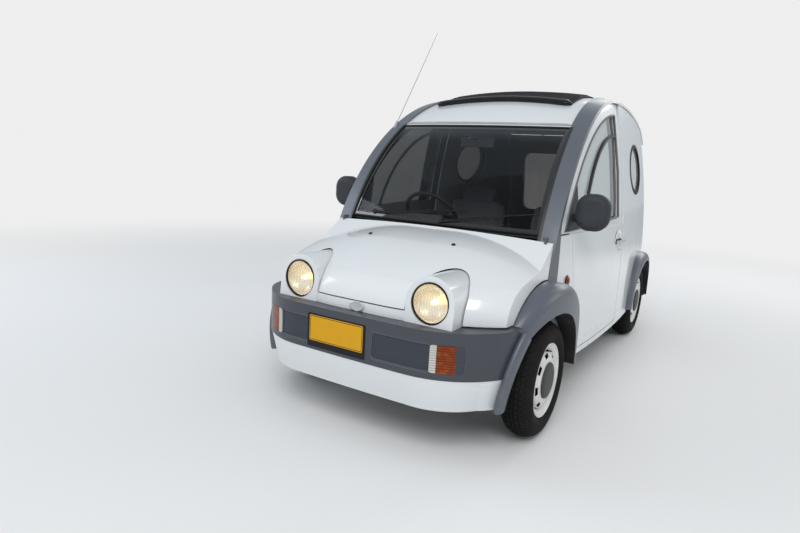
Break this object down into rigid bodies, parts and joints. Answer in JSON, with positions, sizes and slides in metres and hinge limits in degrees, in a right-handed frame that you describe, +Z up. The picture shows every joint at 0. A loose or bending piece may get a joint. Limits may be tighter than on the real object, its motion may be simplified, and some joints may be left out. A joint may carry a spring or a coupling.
{
  "type": "small panel van",
  "caption": "Small rounded panel van with an arched cab, folding canvas roof, round lamps in pods, hinged doors, bonnet and tailgate, and steered rolling wheels.",
  "frame": {"origin": "on the ground, at the middle of the van seen from above", "axes": "-Y towards the nose, +X towards the left side of the van, +Z up"},
  "size_m": [1.7398, 3.48, 2.2113],
  "materials": {
    "white_paint": "gloss",
    "grey_paint": "satin",
    "dark_plastic": "matt",
    "black_rubber": "matt",
    "canvas": "coated cloth",
    "clear_glass": "polished",
    "lamp_glass": "polished",
    "amber_lens": "polished",
    "red_lens": "polished",
    "plate_yellow": "satin",
    "chrome": "polished",
    "seat_fabric": "woven",
    "cast_iron": "rough",
    "steel": "satin",
    "black_steel": "satin",
    "tyre": "matt",
    "rim_paint": "gloss"
  },
  "bodies": {
    "root": {"antenna": "steel", "canvas_roof": "canvas", "dashboard": "dark_plastic", "engine_block": "cast_iron", "exhaust": "steel", "firewall": "white_paint", "flares_front": "grey_paint", "flares_rear": "grey_paint", "floor_pan": "white_paint", "front_bumper": "grey_paint", "front_indicators": "amber_lens", "front_suspension": "black_steel", "front_valance": "white_paint", "fuel_tank": "steel", "headlamps": "lamp_glass", "inner_mirror": "dark_plastic", "inner_wings": "white_paint", "lamp_pods": "white_paint", "nose_panel": "white_paint", "number_plate": "plate_yellow", "pillar_bands": "grey_paint", "porthole_glass": "clear_glass", "porthole_rims": "black_rubber", "rear_axle": "black_steel", "rear_bumper": "grey_paint", "roof_panel": "white_paint", "seats": "seat_fabric", "side_left": "white_paint", "side_right": "white_paint", "tail_lamps": "red_lens", "windscreen": "clear_glass", "wipers": "dark_plastic"},
    "bonnet": {"bonnet": "white_paint"},
    "door_left": {"door_left": "white_paint", "door_glass_left": "clear_glass", "mirror_left": "dark_plastic", "handle_left": "chrome"},
    "door_right": {"door_right": "white_paint", "door_glass_right": "clear_glass", "mirror_right": "dark_plastic", "handle_right": "chrome"},
    "tailgate": {"tailgate": "white_paint", "tailgate_glass": "clear_glass"},
    "knuckle_left": {"knuckle_left": "cast_iron"},
    "knuckle_right": {"knuckle_right": "cast_iron"},
    "steering_wheel": {"steering_wheel": "dark_plastic"},
    "wheel_fl": {"tyre_fl": "tyre", "rim_fl": "rim_paint"},
    "wheel_fr": {"tyre_fr": "tyre", "rim_fr": "rim_paint"},
    "wheel_rl": {"tyre_rl": "tyre", "rim_rl": "rim_paint"},
    "wheel_rr": {"tyre_rr": "tyre", "rim_rr": "rim_paint"}
  },
  "joints": [
    {"name": "bonnet_hinge", "type": "hinge", "parent": "root", "child": "bonnet", "pos_m": [0, -0.959, 0.952], "axis": [-1, 0, 0], "range_deg": [0, 45]},
    {"name": "door_left_hinge", "type": "hinge", "parent": "root", "child": "door_left", "pos_m": [0.702, -0.729, 0.6], "axis": [0, 0, -1], "range_deg": [0, 65]},
    {"name": "door_right_hinge", "type": "hinge", "parent": "root", "child": "door_right", "pos_m": [-0.702, -0.729, 0.6], "axis": [0, 0, 1], "range_deg": [0, 65]},
    {"name": "tailgate_hinge", "type": "hinge", "parent": "root", "child": "tailgate", "pos_m": [0, 1.48, 1.612], "axis": [1, 0, 0], "range_deg": [0, 75]},
    {"name": "steer_left", "type": "hinge", "parent": "root", "child": "knuckle_left", "pos_m": [0.575, -1.12, 0.289], "axis": [0, 0, 1], "range_deg": [-32, 32]},
    {"name": "steer_right", "type": "hinge", "parent": "root", "child": "knuckle_right", "pos_m": [-0.575, -1.12, 0.289], "axis": [0, 0, 1], "range_deg": [-32, 32]},
    {"name": "steering_wheel_turn", "type": "hinge", "parent": "root", "child": "steering_wheel", "pos_m": [-0.34, -0.4, 0.955], "axis": [0, 0.788, 0.6157], "range_deg": [-576, 576]},
    {"name": "spin_fl", "type": "hinge", "parent": "knuckle_left", "child": "wheel_fl", "pos_m": [0.682, -1.12, 0.289], "axis": [1, 0, 0], "continuous": true},
    {"name": "spin_fr", "type": "hinge", "parent": "knuckle_right", "child": "wheel_fr", "pos_m": [-0.682, -1.12, 0.289], "axis": [1, 0, 0], "continuous": true},
    {"name": "spin_rl", "type": "hinge", "parent": "root", "child": "wheel_rl", "pos_m": [0.682, 1.14, 0.289], "axis": [1, 0, 0], "continuous": true},
    {"name": "spin_rr", "type": "hinge", "parent": "root", "child": "wheel_rr", "pos_m": [-0.682, 1.14, 0.289], "axis": [1, 0, 0], "continuous": true}
  ],
  "couplings": [
    {"joint": "steer_right", "follows": "steer_left", "ratio": 1},
    {"joint": "steering_wheel_turn", "follows": "steer_left", "ratio": 18}
  ]
}
